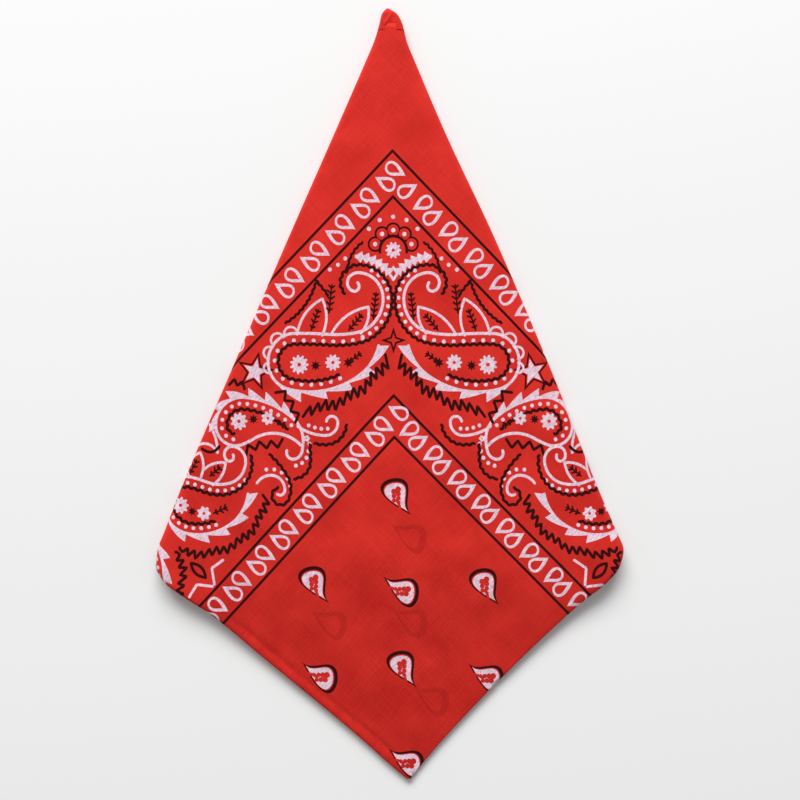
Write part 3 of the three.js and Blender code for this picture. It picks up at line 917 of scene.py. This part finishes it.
flaps, flap_areas = {}, {}
for side, way in (("left", 1), ("right", -1)):
    fold = np.flatnonzero((edge.imag > -68) & (edge.imag < 178) & (on_right == (side == "right")))
    low_end = np.array([way * -114 + 1j * flap_low[side], way * -0.5 + 1j * flap_foot])
    low_out = -1j * way * (low_end[1] - low_end[0]) / abs(low_end[1] - low_end[0])
    beside_fold = (edge.imag > flap_low[side] + 3) & (edge.imag < flap_top) & (on_right == (side == "right"))
    outer = (bend_line - 2.6 * edge_out)[beside_fold]
    if side == "left":
        outer = outer[::-1]  # both now run down from the tip
    tuck = end_radius * np.pi + 1.5
    inner_end = way * -hem_line + 1j * flap_foot
    lower = np.linspace(outer[-1] + low_out * (tuck + 1.5), inner_end + low_out * tuck, 50)
    inner_side = np.linspace(inner_end + 1j, way * -hem_line + 1j * (flap_top - 12), 60)
    outline = on_cloth(turned_under(np.concatenate([outer, lower, inner_side]), fold))
    end_rows = [
        low_end[0] + (low_end[1] - low_end[0]) * np.linspace(0.03, 0.94, 50) + low_out * tuck * share
        for share in (-0.3, 0, 0.16, 0.32, 0.48, 0.64, 0.8)
    ]
    across_flap = [
        x * way + 1j * y for i, y in enumerate(np.arange(flap_foot - 4, flap_top, 3.2))
        for x in np.arange(-116 + 1.8 * (i % 2), -hem_line, 3.6)
    ]
    spots = on_cloth(turned_under(np.concatenate([np.array(across_flap), *end_rows]), fold))
    flap_cut = cut_and_print(outline, spots[inside(outline, spots)], marks)

    place = turned_under(on_table(flap_cut[0]), fold)
    past_end = ((place - low_end[0]) * np.conj(low_out)).real
    angle = np.clip(past_end / end_radius, 0, np.pi)
    rest = np.maximum(past_end - end_radius * np.pi, 0)
    place = place + low_out * np.where(past_end > 0, end_radius * np.sin(angle) - rest - past_end, 0)
    x, y = place.real, place.imag
    from_fold = way * (x - (left_at(y) if side == "left" else right_at(y)))
    ripple = 0.09 * np.sin(x * 0.11 + y * 0.07) * np.sin(y * 0.05 - x * 0.06) * ramp(6, 20, from_fold)
    z = underside(x, y) + seat + 0.03 + ripple
    laid = np.stack([x, y, z + end_radius * (1 - np.cos(angle))], 1)
    flaps[side] = printed_sheet(side + "_flap_cloth", flap_cut, laid)
    flap_areas[side] = cut_area(outline)
    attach(flaps[side], "root")
    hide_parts(side + "_flap")

# The back is the last quarter of the cloth, face down. It shows only below the flaps' lower ends, where it
# comes down to the table from on top of them. It turns up at the lower right as the lower of two folds.
back_top = -72
back_high = edge_lift + (1 - whole) * (edge_fold / 2 - between_folds)
back_turn = np.pi * (edge_across + (back_high - edge_lift) / 2) / 2
back_end = (1 - whole) * (back_turn + 0.8) - 2.2 * whole
roll = np.flatnonzero(~on_right & (edge.imag < -112) & (edge.imag > -190))


def lay_back(flat):
    """The back's surface in the kite, for places on the flat print."""
    place = turned_under(on_table(flat), roll)
    x, y = place.real, place.imag
    held = back_lift(y)
    for side_x, side_whole in ((left_at(y), whole_fold("left", y)), (right_at(y), whole_fold("right", y))):
        held = held * (side_whole + (1 - side_whole) * ramp(0, 30, abs(x - side_x)))
    ripple = 0.1 * np.sin(x * 0.13 - y * 0.05) * np.sin(y * 0.09 + x * 0.04)
    z = underside(x, y) + held + 0.1 + ripple * ramp(2, 12, np.minimum(x - left_at(y), right_at(y) - x))
    outside, bent, _, _, angle, (low, high) = round_fold(place, back_turn, edge_lift, back_high)
    x[outside], y[outside] = bent.real, bent.imag
    z[outside] = low + (high - low) * (1 - np.cos(angle)) / 2 + 0.1
    return np.stack([x, y, z], 1)


below = edge.imag < back_top
outline = on_cloth(turned_under((bend_line + edge_out * back_end)[below], roll))
back_rings = [(bend_line + edge_out * np.maximum(back_end, 0) * share)[below & (whole < 0.5)]
              for share in (0, 0.15, 0.3, 0.45, 0.6, 0.75, 0.9)]
across_back = [
    x + 1j * y for i, y in enumerate(np.arange(-194, back_top, 3.1))
    for x in np.arange(-114 + 1.8 * (i % 2), 116, 3.6)
]
spots = on_cloth(turned_under(np.concatenate([np.array(across_back), *back_rings]), roll))
back_cut = cut_and_print(outline, spots[inside(outline, spots)], back_marks)
back = printed_sheet("back_cloth", back_cut, lay_back(back_cut[0]))
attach(back, "root")
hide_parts("back_layer")

# Side by side along the middle lie the hems of both wedges: the cloth's own edge, turned in twice and
# sewn down with thread of its own colour, which draws it in a little at each stitch.
hem_end, stitch_pitch, stitch_height, seam_at = 182.5, 3.1, 0.24, 5.75
# 'from the middle', 'height', 'how far a stitch draws it up'
hem_section = np.array([
    (6.9, 0.9, 0), (6.6, 0.38, 0), (6.25, 0.22, 0.02), (seam_at, 0.26, 0.16), (5.25, 0.17, 0.04),
    (4.2, 0.12, 0), (2.6, 0.13, 0), (1.3, 0.16, 0), (0.8, 0.32, 0), (0.52, 0.75, 0), (0.6, 1.15, 0),
    (1, 1.45, 0), (2.5, 1.55, 0), (6.9, 1.5, 0),
])


def hem_room(y):
    """The share of its width that a hem keeps as the kite narrows to its tip."""
    return min(1, (abs(left_at(y)) - 4.4) / 6.9)


def tube(rings):
    """The points and faces of a closed tube through rings of points."""
    count = len(rings[0])
    faces = [
        (r * count + i, r * count + (i + 1) % count, (r + 1) * count + (i + 1) % count, (r + 1) * count + i)
        for r in range(len(rings) - 1) for i in range(count)
    ]
    faces.append(tuple(range(count))[::-1])
    faces.append(tuple((len(rings) - 1) * count + i for i in range(count)))
    return np.concatenate(rings), faces


for side, way in (("left", -1), ("right", 1)):
    rings = []
    for y in np.arange(flap_foot - 0.3, hem_end, stitch_pitch / 4):
        wobble = 0.1 * math.sin(y * 0.21 + way) + 0.06 * math.sin(y * 0.83)
        drawn = math.cos(math.pi * y / stitch_pitch) ** 2
        close = 1 - 0.75 * (1 - ramp(flap_foot - 0.3, flap_foot + 0.9, y)) ** 2
        x, z = hem_section[:, 0], hem_section[:, 1] + hem_section[:, 2] * drawn
        x = 0.5 + (x - 0.5) * hem_room(y) + wobble * (x < 3)
        z = 0.8 + (z - 0.8) * close
        ring = np.stack([way * x, np.full_like(x, y), z], 1)
        rings.append(ring if way < 0 else ring[::-1])
    hem = piece(side + "_hem_strip", *tube(rings), plain_cotton)
    points, faces = [], []
    for y in np.arange(flap_foot + 1.6, hem_end - 14, stitch_pitch):
        middle = np.array([way * (0.5 + (seam_at - 0.5) * hem_room(y)), y, stitch_height])
        rings = []
        for on in (-1, -0.85, -0.4, 0.4, 0.85, 1):
            size = 0.06 + 0.18 * math.sqrt(1 - on**2)
            angles = np.arange(6) * math.tau / 6
            rings.append(middle + np.stack([
                size * np.cos(angles) * 1.2, np.full(6, 1.05 * on), size * np.sin(angles)], 1))
        ring_points, ring_faces = tube(rings)
        faces += [tuple(len(points) + i for i in face) for face in ring_faces]
        points += ring_points.tolist()
    stitches = piece(side + "_stitches", points, faces, plain_cotton)
    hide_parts(side + "_hem")
    for made in (hem, stitches):
        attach(made, "root")

# At the tip all four hemmed corners of the cloth lie on each other and are drawn together into one
# thick rounded end. The topmost is rolled over to the left, so a ridge runs down from its point.
# 'x', 'y', 'degrees', 'half length', 'half width', 'height'
corner_creases = np.array([
    (-1.1, 189.4, 59, 3.2, 0.6, 0.5), (-2.7, 190.2, 62, 3.6, 0.9, -0.45), (1.5, 189, 72, 3.6, 1.5, -0.4),
    (4.2, 190, -52, 2.6, 0.8, 0.3), (-3.6, 187, 66, 3, 0.7, 0.25),
])
rings = []
for y in np.concatenate([np.arange(184.4, 195, 0.5), [195.3, 195.6, 195.8, 195.95, 196]]):
    left, right = left_at(y), right_at(y)
    across = 0.95 * min(left_fold(y) / 2, 0.4 * (right - left))
    t = np.linspace(0, 1, 26)
    x = left + across + (right - left - 2 * across) * t
    low, high = left_lift(y), left_lift(y) + left_fold(y)
    ridges = crease_height(x, y, corner_creases)
    top = high + (1 - (2 * t - 1) ** 4) * (crown_at(y) - high) + ridges * ramp(185.2, 187.5, y)
    angle = np.linspace(0, np.pi, 11)[1:-1]
    radius = (high - low) / 2
    right_arc = right - across + across * np.sin(angle), low + radius * (1 + np.cos(angle))
    left_arc = left + across - across * np.sin(angle), low + radius * (1 - np.cos(angle))
    loop_x = np.concatenate([x, right_arc[0], x[::-1], left_arc[0]])
    loop_z = np.concatenate([top, right_arc[1], low + 0 * x, left_arc[1]])
    rings.append(np.stack([loop_x, np.full_like(loop_x, y), loop_z], 1)[::-1])
hem_corner = piece("hem_corner_nub", *tube(rings), plain_cotton)
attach(hem_corner, "root")
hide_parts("hem_corner")

# The two inner quarters of the cloth, and the wedges' inner layers, are shut in between all these. They
# are of the same cotton, held by the folds alone, and keep the shape that they already have.
inner_layers = bpy.data.objects["hidden_layers"]
inner_layers.material_slots[0].material = plain_cotton.material
